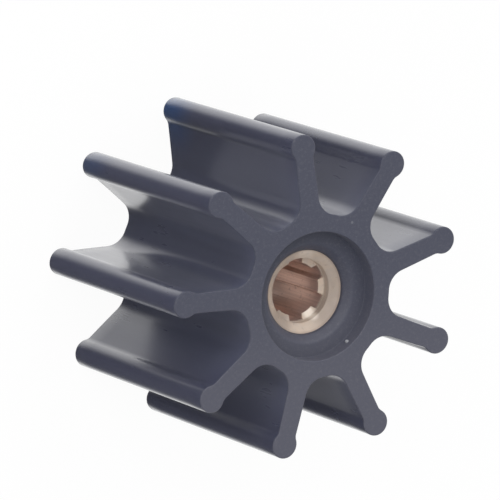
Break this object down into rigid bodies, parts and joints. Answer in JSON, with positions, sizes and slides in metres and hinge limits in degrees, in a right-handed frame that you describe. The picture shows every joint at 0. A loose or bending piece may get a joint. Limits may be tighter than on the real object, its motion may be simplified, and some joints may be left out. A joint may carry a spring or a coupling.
{
  "type": "pump impeller",
  "caption": "Flexible-vane pump impeller: a moulded rubber rotor with round-tipped radial vanes, recessed at both ends and bonded round a splined bronze insert.",
  "frame": {"origin": "on the rotor's axis, in the plane of the rear end face", "axes": "+Z along the axis from the rear end face to the front one; +Y through the middle of one vane; +X completes a right-handed frame"},
  "size_m": [0.064, 0.0632, 0.05],
  "materials": {
    "rubber": "moulded dark blue-grey synthetic rubber, satin on the end faces and glossy on the flanks",
    "bronze": "turned and broached bronze, dull"
  },
  "bodies": {
    "root": {"rubber_rotor": "rubber", "bronze_insert": "bronze"}
  },
  "joints": []
}
